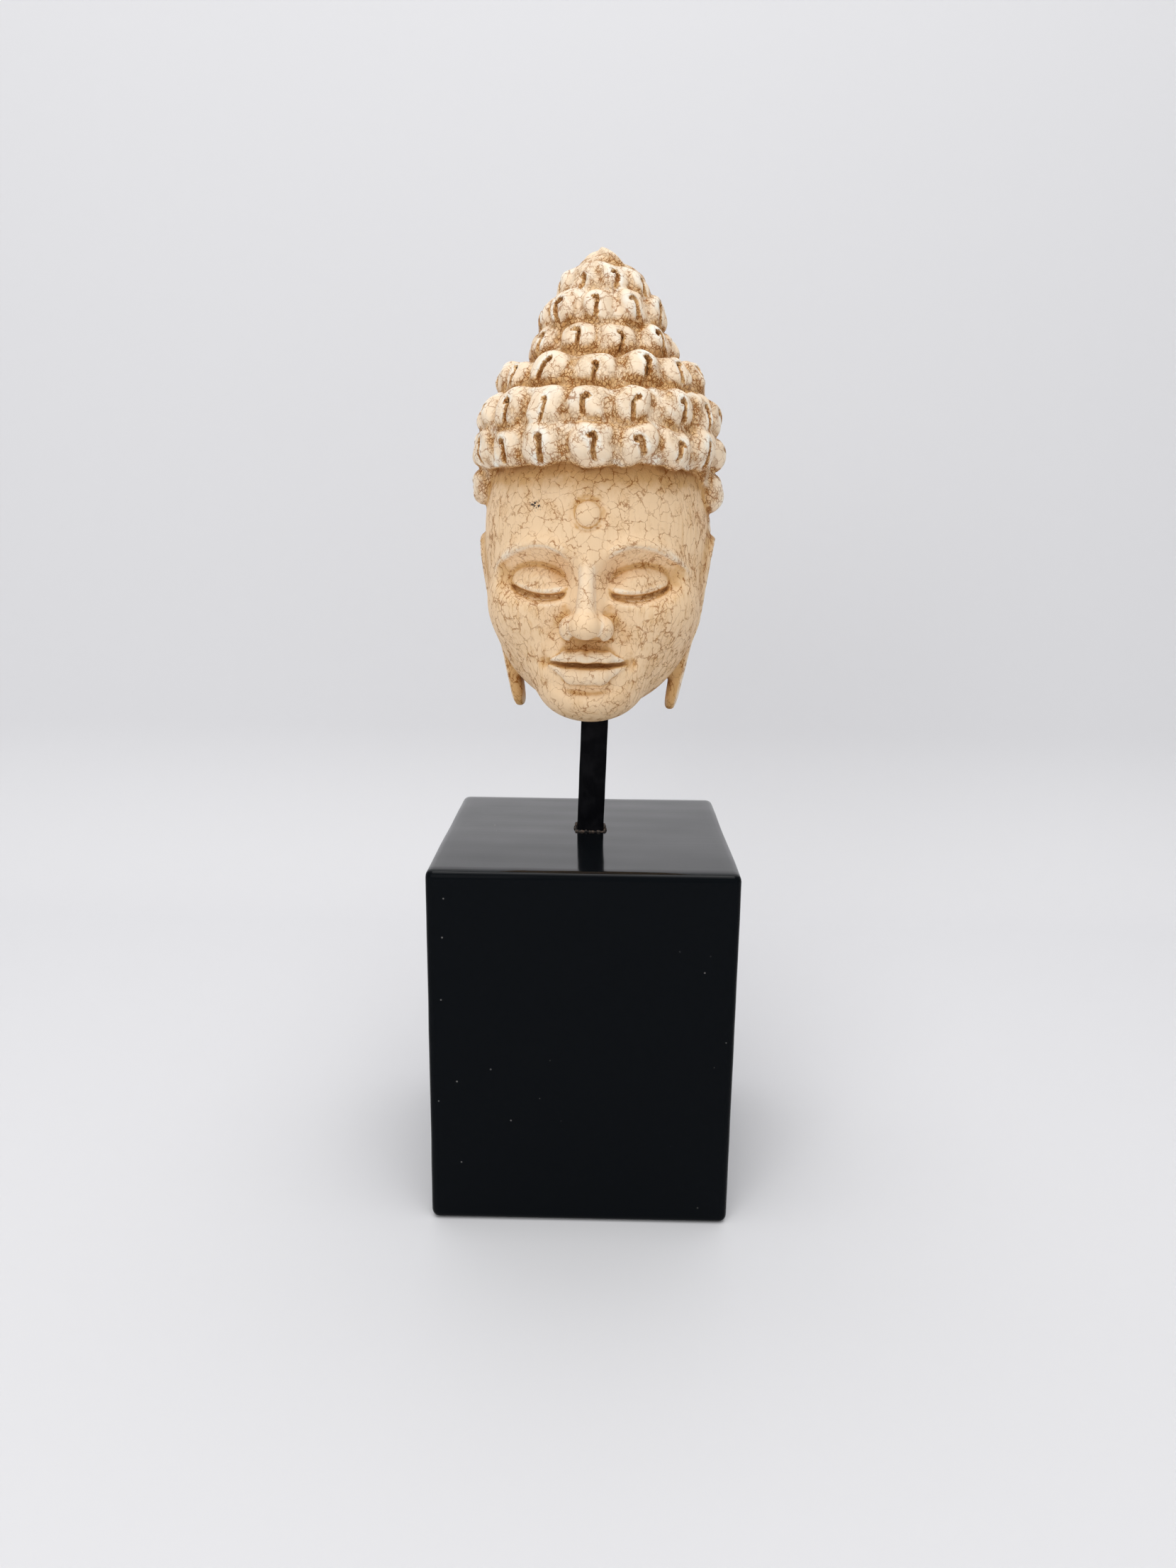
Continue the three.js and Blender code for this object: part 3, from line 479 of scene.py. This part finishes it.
def ear_hollow(across, y, z):
    """The ear's bowl, the groove inside its rim and the slit in its lobe."""
    t = np.clip((z - 3) / 57, 0, 1.1)
    p = y - 2.2 * np.minimum(t, 1)
    off = across - 29.4 - 9.8 * t
    bowl = egg(off, p, z, (0.6, -0.4, 36.5), (3.4, 3.9, 7.6))
    turn = np.hypot(p - 0.6, np.where(z > 48, z - 48, np.minimum(z - 38, 0) * 0.7)) - 5.6
    groove = np.hypot(turn, (off - 0.4) / 1.2) - 1.25 + 3 * fade(40, 34, z) + 4 * fade(-2.5, -6, p)
    slit = stroke(off, p, z, (0.3, 0, 8.5), (0.3, -0.4, 23), 1.25, 1.05)
    return join(join(bowl, groove, 0.8), slit, 0.8)


# The hair: a cap that is a little deeper than wide, with a low roll around it for each row of curls.
# Each row has its height, the cap's half width there, its curls around, and one curl's turn.
curl_rows = [
    (21.0, 29.0, 13, 9), (31.8, 32.6, 15, 4), (42.6, 35.0, 16, 11), (53.4, 36.0, 17, 3),
    (64.4, 36.4, 17, 10), (75.4, 36.8, 17, 2), (86.4, 36.9, 17, 0), (97.4, 35.3, 17, 0),
    (107.9, 29.1, 14, 0.5), (118.3, 19.2, 10, -19), (128.4, 15.9, 10, -2), (136.6, 11.3, 8, 15),
]
curl_half_height, curl_most_half_width, curl_depth, curl_above_edge = 5.9, 7.5, 4.4, 3.5
curl_squareness, curl_roundness = 2.7, 2.5
roll_depth, tip_lobes = 1.7, 0.65
small_curl_reach = 12
row_reach = 9.5
slot_radius, slot_depth = 0.55, 1.6

cap_rows = [(height, reach) for height, reach, count, first in curl_rows]
cap_reach = curve_through((10, 26), *cap_rows, (142.5, 8.8), (145.5, 6), (148, 3.1), (head_height, 0.2))
cap_depth = curve_through((10, 1.08), (95, 1.1), (112, 1.03), (125, 1), (head_height, 1))
top_knot_shift = curve_through((98, 0.2), (108, 0.9), (118, 1.1), (128, 0.9), (138, 1.4), (head_height, 0.4))
hair_edge = curve_through(
    (0, 82), (40, 82), (62, 80), (76, 74), (88, 67), (104, 61), (112, 54), (124, 30), (135, 15), (180, 13)
)


def by_hand(x, y, z):
    """Places in the hair moved a little, as a row cut by hand is never even."""
    a = 0.4 * np.sin(0.41 * z + 1.7 * np.sin(0.19 * y + 1.1)) + 0.22 * np.sin(0.83 * y - 0.6 * z + 2)
    b = 0.35 * np.sin(0.37 * x + 1.6 * np.sin(0.23 * z)) + 0.22 * np.sin(0.71 * z + 0.9 * x + 1)
    c = 0.5 * np.sin(0.21 * x + 1.8 * np.sin(0.17 * y + 0.5)) + 0.3 * np.sin(0.73 * y + 0.47 * x)
    return x + a, y + b, z + c


def cap(x, y, z):
    slope = cap_reach(z + 0.5) - cap_reach(z - 0.5)
    lobes = tip_lobes * np.sin(3 * np.arctan2(x, -y) + 0.9 * z) * fade(140, 143, z)
    side = (np.hypot(x, y / cap_depth(z)) - cap_reach(z) - lobes) / np.hypot(1, slope)
    return overlap(side, z - head_height, 1)


def leg_distance(t, u, start, end):
    dt, du = end[0] - start[0], end[1] - start[1]
    along = np.clip(((t - start[0]) * dt + (u - start[1]) * du) / (dt * dt + du * du), 0, 1)
    return np.hypot(t - start[0] - along * dt, u - start[1] - along * du)


def slot_distance(t, u, half_height, hook):
    """The slot rises from the curl's foot and hooks over to one side."""
    rise = leg_distance(t, u, (0.5, -half_height), (0.7, 0.2))
    bend = leg_distance(t, u, (0.7, 0.2), (0.1, 1.2))
    return np.minimum(np.minimum(rise, bend), leg_distance(t, u, (0.1, 1.2), (-hook, 0.9)))


def curls(x, y, z):
    """The distances to the rows of curls and to the slots in them."""
    turn = np.degrees(np.arctan2(x, -y))
    edge = hair_edge(np.abs(turn))
    nearest = np.full_like(x, 50.0)
    nearest_slot = np.full_like(x, 50.0)
    for row, (height, reach, count, first) in enumerate(curl_rows):
        near = np.abs(z - height) < row_reach
        if not near.any():
            continue
        places = x[near], y[near], z[near]
        q = (turn[near] - first) * count / 360
        one, one_slot = curl(row, np.floor(q), *places)
        other, other_slot = curl(row, np.floor(q) + 1, *places)
        found = join(one, other, 0.9)
        found = join(found, roll(height, reach, edge[near], *places), 1)
        nearest[near] = join(nearest[near], found, 0.9)
        nearest_slot[near] = np.minimum(nearest_slot[near], np.minimum(one_slot, other_slot))
    return nearest, nearest_slot


def row_lean(height):
    return math.atan((cap_reach(height - 3) - cap_reach(height + 3)) / 6) * 0.75


def roll(height, reach, edge, x, y, z):
    """The low roll that the curls of a row are cut into, thinned out towards the hair's edge."""
    lean = row_lean(height)
    out = np.hypot(x, y / cap_depth(height)) - reach
    dz = z - height
    n = out * math.cos(lean) + dz * math.sin(lean)
    u = dz * math.cos(lean) - out * math.sin(lean)
    size = np.sqrt((n / roll_depth) ** 2 + (u / curl_half_height) ** 2)
    return (size - 1) * roll_depth + np.maximum(edge + curl_above_edge - height, 0)


def curl(row, place, x, y, z):
    """The distances to one curl of a row, and to the slot in it."""
    height, reach, count, first = curl_rows[row]
    pitch = 360 / count
    middle = np.mod(first + place * pitch + 180, 360) - 180
    place = np.mod(place, count)
    a, b, c, d = (chance(row + salt, place) for salt in (0, 31, 77, 57))
    depth = cap_depth(height)
    angle = np.radians(middle + (a - 0.5) * 3.4)
    size = 1 + 0.15 * (b - 0.5)
    small = reach < small_curl_reach
    normal_x, normal_y = np.sin(angle), -np.cos(angle) / depth
    length = np.hypot(normal_x, normal_y)
    normal_x, normal_y = normal_x / length, normal_y / length
    lean = row_lean(height)
    dx, dy = x - reach * np.sin(angle), y + reach * depth * np.cos(angle)
    dz = z - height - (c - 0.5) * 1.5
    out = dx * normal_x + dy * normal_y
    t = dy * normal_x - dx * normal_y
    n = out * math.cos(lean) + dz * math.sin(lean)
    u = dz * math.cos(lean) - out * math.sin(lean)
    tilt = 0.36 * (d - 0.5)
    t, u = t * np.cos(tilt) + u * np.sin(tilt), u * np.cos(tilt) - t * np.sin(tilt)
    half_width = np.minimum(math.radians(pitch) * reach * 0.99 * size / 2, curl_most_half_width)
    half_height = curl_half_height * size * (0.86 if small else 1)
    thick = curl_depth * (0.92 + 0.2 * d) * (0.8 if small else 1)
    sides = np.abs(t / half_width) ** curl_squareness + np.abs(u / half_height) ** curl_squareness
    knob = ((sides + np.abs(n / thick) ** 2.2) ** (1 / curl_roundness) - 1) * thick * 0.95
    slot_turn = 0.4 * (c - 0.5)
    turned_t = (t * np.cos(slot_turn) + u * np.sin(slot_turn)) * np.where(a > 0.25, 1, -1) - 0.8 * (b - 0.5)
    turned_u = u * np.cos(slot_turn) - t * np.sin(slot_turn)
    gap = slot_distance(turned_t, turned_u - 0.6, half_height, 0.2 + 1.1 * d)
    floor = thick - slot_depth * (0.55 + 0.6 * b)
    slot = np.hypot(gap, np.maximum(floor - n, 0)) - slot_radius * (0.6 + 0.7 * c)
    kept = hair_edge(np.abs(middle)) + curl_above_edge < height
    return np.where(kept, overlap(knob, -slot, 0.6), 50), np.where(kept, slot, 50)


def head_parts(x, y, z):
    """The distances to the skin, to the hair and to the slots in the curls."""
    across = np.abs(x)
    plain = join(join(face(x, y, z), neck(x, y, z), 5), ear(across, y, z), 1.6)
    skin = overlap(plain, -ear_hollow(across, y, z), 0.9)
    x, y, z = by_hand(x - top_knot_shift(z), y, z)
    edge = hair_edge(np.degrees(np.arctan2(np.abs(x), -y)))
    lumps, slots = curls(x, y, z)
    hair = join(overlap(cap(x, y, z), edge - z, 1.5), lumps, 1)
    return skin, hair, slots


def head_form(x, y, z):
    skin, hair, slots = head_parts(x, y, z)
    return join(skin, hair, 0.9)


def carve(field, axes, block=4, margin=1.35, far=9.0, batch=400000):
    """The points and outward faces of a field's surface, worked only in blocks that it may cross."""
    widest = max(np.diff(axis).max() for axis in axes)
    counts = [len(axis) // block * block for axis in axes]
    axes = [axis[:count] for axis, count in zip(axes, counts)]
    middles = [axis.reshape(-1, block).mean(axis=1) for axis in axes]
    grid = np.meshgrid(*middles, indexing="ij")
    coarse = field(*(g.ravel() for g in grid)).reshape(grid[0].shape)
    grow = np.ones((block, block, block))
    values = np.kron(np.where(coarse > 0, far, -far), grow)
    i, j, k = np.nonzero(np.kron(np.abs(coarse) < widest * block * margin, grow))
    worked = np.empty(len(i))
    for start in range(0, len(i), batch):
        part = slice(start, start + batch)
        worked[part] = field(axes[0][i[part]], axes[1][j[part]], axes[2][k[part]])
    values[i, j, k] = worked
    inside = values < 0
    corners = [(a, b, c) for a in (0, 1) for b in (0, 1) for c in (0, 1)]
    ends = [size - 1 for size in values.shape]
    held = sum(
        inside[a : ends[0] + a, b : ends[1] + b, c : ends[2] + c].astype(np.int8) for a, b, c in corners
    )
    cells = np.nonzero((held > 0) & (held < 8))
    number = np.full(held.shape, -1)
    number[cells] = np.arange(len(cells[0]))
    at_corner = [values[cells[0] + a, cells[1] + b, cells[2] + c] for a, b, c in corners]
    place = np.zeros((len(cells[0]), 3))
    crossings = np.zeros((len(cells[0]), 1))
    for p, first in enumerate(corners):
        for q, second in enumerate(corners):
            step = np.subtract(second, first)
            if step.min() < 0 or step.sum() != 1:
                continue
            crosses = (at_corner[p] < 0) != (at_corner[q] < 0)
            gap = np.where(crosses, at_corner[p] - at_corner[q], 1)
            t = np.where(crosses, at_corner[p] / gap, 0)[:, None]
            place += np.where(crosses[:, None], np.array(first) + t * step, 0)
            crossings += crosses[:, None]
    place = place / crossings + np.stack(cells, 1)
    points = np.stack([np.interp(place[:, i], np.arange(counts[i]), axes[i]) for i in range(3)], 1)
    faces = []
    for axis in range(3):
        low, high = [slice(None)] * 3, [slice(None)] * 3
        low[axis], high[axis] = slice(0, -1), slice(1, None)
        edges = np.stack(np.nonzero(inside[tuple(low)] != inside[tuple(high)]), 1)
        corner_cells = []
        for back, down in ((1, 1), (0, 1), (0, 0), (1, 0)):
            cell = edges.copy()
            cell[:, (axis + 1) % 3] -= back
            cell[:, (axis + 2) % 3] -= down
            corner_cells.append(number[tuple(cell.T)])
        quad = np.stack(corner_cells, 1)
        outward = inside[tuple(edges.T)]
        faces.append(np.where(outward[:, None], quad, quad[:, ::-1]))
    return points, np.concatenate(faces)


def slope_of(field, points, reach=0.05):
    moves = np.eye(3) * reach
    return np.stack([field(*(points + m).T) - field(*(points - m).T) for m in moves], 1) / (2 * reach)


def settle(field, points, most):
    """Moves points onto the surface, none of them further than most in one move."""
    for _ in range(2):
        slope = slope_of(field, points)
        steepness = np.maximum((slope**2).sum(axis=1, keepdims=True), 0.25)
        move = -field(*points.T)[:, None] * slope / steepness
        length = np.linalg.norm(move, axis=1, keepdims=True)
        points = points + move * np.minimum(1, most / np.maximum(length, 1e-9))
    return points


def graded(low, high, fine, coarse, change):
    """Places from low to high whose step grows from fine to coarse around a change."""
    places = [low]
    while places[-1] < high:
        places.append(places[-1] + fine + (coarse - fine) * float(fade(change - 8, change + 8, places[-1])))
    return np.array(places)


side_step, front_step, back_step, face_step, hair_step = 0.84, 0.76, 0.98, 0.78, 0.86
most_settled = 0.4

head_axes = [
    np.arange(-46, 46, side_step),
    graded(-53, 51, front_step, back_step, -6),
    graded(-2, 153, face_step, hair_step, 84),
]
carved_points, head_faces = carve(head_form, head_axes)
carved_points = settle(head_form, carved_points, most_settled)
head_normals = slope_of(head_form, carved_points)
head_normals /= np.maximum(np.linalg.norm(head_normals, axis=1, keepdims=True), 1e-9)
turn_matrix = np.array(Matrix.Rotation(head_turn, 3, "Z"))
head_points = (carved_points @ turn_matrix.T + head_place) / 1000
head = make_piece("carved_head", head_points, head_faces)


def keep_per_point(piece, name, values):
    piece.data.attributes.new(name, "FLOAT", "POINT").data.foreach_set("value", values.astype(np.float32))


# The looks of the head: ivory paint over a crackle coat, so that it has split into small cells.
# A brown stain was rubbed on and wiped off, and it has stayed in the cracks. The ochre and brown in the
# hollows is partly that stain and partly painted shade, and the paler paint on proud parts is partly wiped
# paint and partly a painted highlight.
# The shade under a row of curls fades out further away than the carving needs to look.
row_reach = 20
# How shut in and how proud each point is. The paint is made ochre and brown where a point is shut in, partly
# stain and partly painted shade, and paler where it is proud, partly a painted highlight.
openness = np.zeros(len(carved_points))
proudness = np.zeros(len(carved_points))
for reach, share in ((1.0, 0.28), (2.4, 0.4), (5.0, 0.25), (9.0, 0.07)):
    outer = head_form(*(carved_points + head_normals * reach).T)
    inner = head_form(*(carved_points - head_normals * reach).T)
    openness += share * np.clip(outer / reach, 0, 1)
    proudness += share * np.clip(1 + inner / reach, 0, 1)
skin_distance, hair_distance, slot_gap = head_parts(*carved_points.T)
hair_share = fade(-0.4, 0.8, skin_distance - hair_distance)
keep_per_point(head, "hollow", 1 - openness)
keep_per_point(head, "proud", proudness)
keep_per_point(head, "hair", hair_share)
keep_per_point(head, "slot", fade(0.35, -0.35, slot_gap) * hair_share)
across = np.abs(carved_points[:, 0])
cheek = fade(9, 17, across) * fade(60, 50, carved_points[:, 2]) * (1 - hair_share)
cheek = np.maximum(cheek, fade(24, 31, across) * (1 - hair_share))
keep_per_point(head, "cheek", cheek)
# Ochre round the forehead's mark, in a band under the hair's edge and on faces turned down under the chin:
# partly stain and partly painted shade.
mark_ring = bell(np.hypot(carved_points[:, 0], carved_points[:, 2] - mark_height) - 4.9, 1.3)
mark_ring *= fade(0, -10, carved_points[:, 1])
edge_at = hair_edge(np.degrees(np.arctan2(across, -carved_points[:, 1])))
under_hair = bell(np.minimum(carved_points[:, 2] - edge_at + 1.5, 0), 2.4) * (1 - hair_share)
underside = fade(-0.35, -0.9, head_normals[:, 2]) * fade(14, 6, carved_points[:, 2])
keep_per_point(head, "shade_and_stain", np.clip(np.maximum.reduce([mark_ring, under_hair, underside]), 0, 1))
chip_place = turn_matrix @ np.array([-16.2, -34.8, 69.0]) + head_place

skin_ivory = seen(249, 216, 174)
skin_pale = seen(251, 233, 207)
hair_ivory = seen(254, 248, 233)
# The ochre and brown serve the rubbed stain and the grain, and also the painted shade in hollows, slots and
# under the hair.
ochre_stain_and_shade = seen(222, 176, 114)
brown_stain_and_shade = seen(164, 108, 50)
crack_brown = seen(156, 94, 26)
chip_dark = seen(58, 50, 48)
plate_size, long_plate_size, small_plate_size, long_small_size, shard_size = 4.2, 2.9, 1.9, 1.3, 1.15
paint_depth = 0.00016


def crackled_paint(places):
    def kept(name):
        return places.node("Attribute", {"attribute_name": name}, {}, "Fac")

    hollow, proud, hair, cheek, shade_and_stain, slot = (
        kept(name) for name in ("hollow", "proud", "hair", "cheek", "shade_and_stain", "slot")
    )
    centre = (-0.5, -0.5, -0.5)
    wobble = places.noise(1.2, 3, "Color").shift(centre).stretch((1.7, 1.7, 1.7))
    wide_wobble = places.noise(5, 2, "Color").shift(centre).stretch((3.4, 3.4, 3.4))
    uneven = places.shift(wobble).shift(wide_wobble)
    cloud = places.noise(7, 4)
    patch = places.shift((9, 0, 0)).noise(2.6, 4)

    plates = uneven.cell_edge(plate_size)
    long_plates = uneven.stretch((1, 1, 0.4)).cell_edge(long_plate_size)
    small_plates = uneven.shift((40, 0, 0)).cell_edge(small_plate_size)
    long_small = uneven.stretch((1, 1, 0.3)).shift((0, 50, 0)).cell_edge(long_small_size)
    main = plates.ramp(0.045, 0.015) * (1 - cheek) + long_plates.ramp(0.062, 0.02) * cheek
    fine = small_plates.ramp(0.07, 0.022) * (1 - cheek) + long_small.ramp(0.085, 0.025) * cheek
    broken = patch.ramp(0.38, 0.58)
    clustered = cloud.ramp(0.42, 0.6)
    cracks = main * (0.45 + 0.55 * broken) * (0.65 + 0.35 * clustered)
    cracks = cracks + fine * clustered * (0.2 + 0.5 * broken)
    valley = hollow.ramp(0.16, 0.5) * (0.2 + 0.8 * hair)
    shards = uneven.stretch((1, 1, 0.7)).shift((0, 0, 70)).cell_edge(shard_size).ramp(0.12, 0.035)
    cracks = (cracks + valley * shards * (0.3 + 0.7 * broken)).ramp(0.0, 1.0)

    grain = places.stretch((1, 1, 0.05)).noise(0.8, 3)
    streak = grain.ramp(0.5, 0.68) * (1 - hair) * (0.3 + 0.7 * cheek)
    chip_gap = places.shift(tuple(-chip_place)).shift(wobble).shift(wobble).stretch((0.7, 1, 1.1)).length()

    # Ochre and brown in the hollows, in the curls' slots and under the hair and chin: partly stain left there
    # and partly painted shade.
    deep = hollow * (1 - 0.22 * hair) + 0.22 * (cloud - 0.5) + 0.3 * (patch - 0.5)
    ochre = (deep.ramp(0.09, 0.55) * 0.9 + shade_and_stain * patch.ramp(0.35, 0.62) * 0.5).ramp(0.0, 1.0)
    dark = deep.ramp(0.52, 0.95) * 0.7 + slot * (0.12 + 0.75 * patch.ramp(0.4, 0.6))
    # Paler on proud parts and on the curls' tops: partly paint wiped clean and partly a painted highlight.
    pale = (proud - hollow + 0.3 * (cloud - 0.5)).ramp(0.05, 0.5)
    rubbed = cloud.ramp(0.47, 0.68) * (1 - hair) * 0.24

    colour = pale.blend(skin_ivory, skin_pale)
    colour = (hair * (0.35 + 0.65 * pale)).blend(colour, hair_ivory)
    colour = rubbed.blend(colour, ochre_stain_and_shade)
    colour = (streak * 0.42).blend(colour, ochre_stain_and_shade)
    colour = ochre.blend(colour, ochre_stain_and_shade)
    colour = dark.ramp(0.0, 1.0).blend(colour, brown_stain_and_shade)
    colour = (cracks * (0.7 + 0.25 * ochre)).blend(colour, crack_brown)
    flecked = places.noise(0.5, 2).ramp(0.44, 0.54)
    colour = (chip_gap.ramp(1.7, 1.1) * flecked).blend(colour, chip_dark)
    height = 0.5 * grain * (1 - hair) + patch * 0.7 - valley * shards - cracks * 0.08
    return {
        "Base Color": colour,
        "Roughness": 0.5 + 0.16 * patch + 0.2 * cracks,
        "Normal": relief(height, paint_depth),
    }


finish_material(head, "crackled paint", crackled_paint, IOR=1.45)
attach(head, "root")
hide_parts("buddha_head")

# The studio: a pale sweep that curves up behind, soft light from above and from the front,
# and the camera in the place that the photograph was taken from.
sweep_depth = 0.34
sweep_bend = 0.10
sweep_half_width = 3.0
sweep_front = -2.0
sweep_height = 3.0

bend = np.linspace(0, math.pi / 2, 25)
sweep_y = np.concatenate([[sweep_front], sweep_depth + sweep_bend * np.sin(bend) - sweep_bend, [sweep_depth]])
sweep_z = np.concatenate([[0], sweep_bend * (1 - np.cos(bend)), [sweep_height]])
sweep_points = [(side * sweep_half_width, y, z) for y, z in zip(sweep_y, sweep_z) for side in (-1, 1)]
sweep_faces = [(2 * i, 2 * i + 1, 2 * i + 3, 2 * i + 2) for i in range(len(sweep_y) - 1)]
sweep = make_piece("sweep", sweep_points, sweep_faces)
finish_material(sweep, "sweep", lambda places: {}, Base_Color=(0.80, 0.80, 0.815, 1), Roughness=0.75)

world = bpy.data.worlds.new("studio")
world.use_nodes = True
world.node_tree.nodes["Background"].inputs["Color"].default_value = (1.0, 1.0, 1.015, 1)
world.node_tree.nodes["Background"].inputs["Strength"].default_value = 0.44
bpy.context.scene.world = world
bpy.context.scene.view_settings.view_transform = "Standard"
bpy.context.scene.view_settings.look = "None"


def soft_light(name, place, target, width, power):
    light = bpy.data.lights.new(name, "AREA")
    light.energy = power
    light.size = width
    lamp = bpy.data.objects.new(name, light)
    lamp.location = place
    lamp.rotation_euler = (Vector(target) - Vector(place)).to_track_quat("-Z", "Y").to_euler()
    bpy.context.scene.collection.objects.link(lamp)


overhead_power, front_power = 12, 4.4

soft_light("overhead", (0.0, -0.45, 1.5), (0, 0.02, 0.2), 1.2, overhead_power)
soft_light("front", (-0.55, -1.35, 0.75), (0, 0, 0.2), 0.9, front_power)

photo_height = 2212
focal_pixels = 1507.2
camera_place = (0.0044, -0.3683, 0.2265)
camera_down, camera_roll, camera_side = math.radians(13.14), math.radians(0.77), math.radians(-0.59)

ahead = Vector((math.sin(camera_side), math.cos(camera_side), 0)) * math.cos(camera_down)
ahead.z = -math.sin(camera_down)
level_right = Vector((math.cos(camera_side), -math.sin(camera_side), 0))
level_up = level_right.cross(ahead)
right = math.cos(camera_roll) * level_right + math.sin(camera_roll) * level_up
up = right.cross(ahead)
lens = bpy.data.cameras.new("camera")
lens.sensor_fit = "VERTICAL"
lens.sensor_width = lens.sensor_height = 36
lens.lens = focal_pixels / photo_height * lens.sensor_height
camera = bpy.data.objects.new("camera", lens)
camera.matrix_world = Matrix.Translation(camera_place) @ Matrix((right, up, -ahead)).transposed().to_4x4()
bpy.context.scene.collection.objects.link(camera)
bpy.context.scene.camera = camera
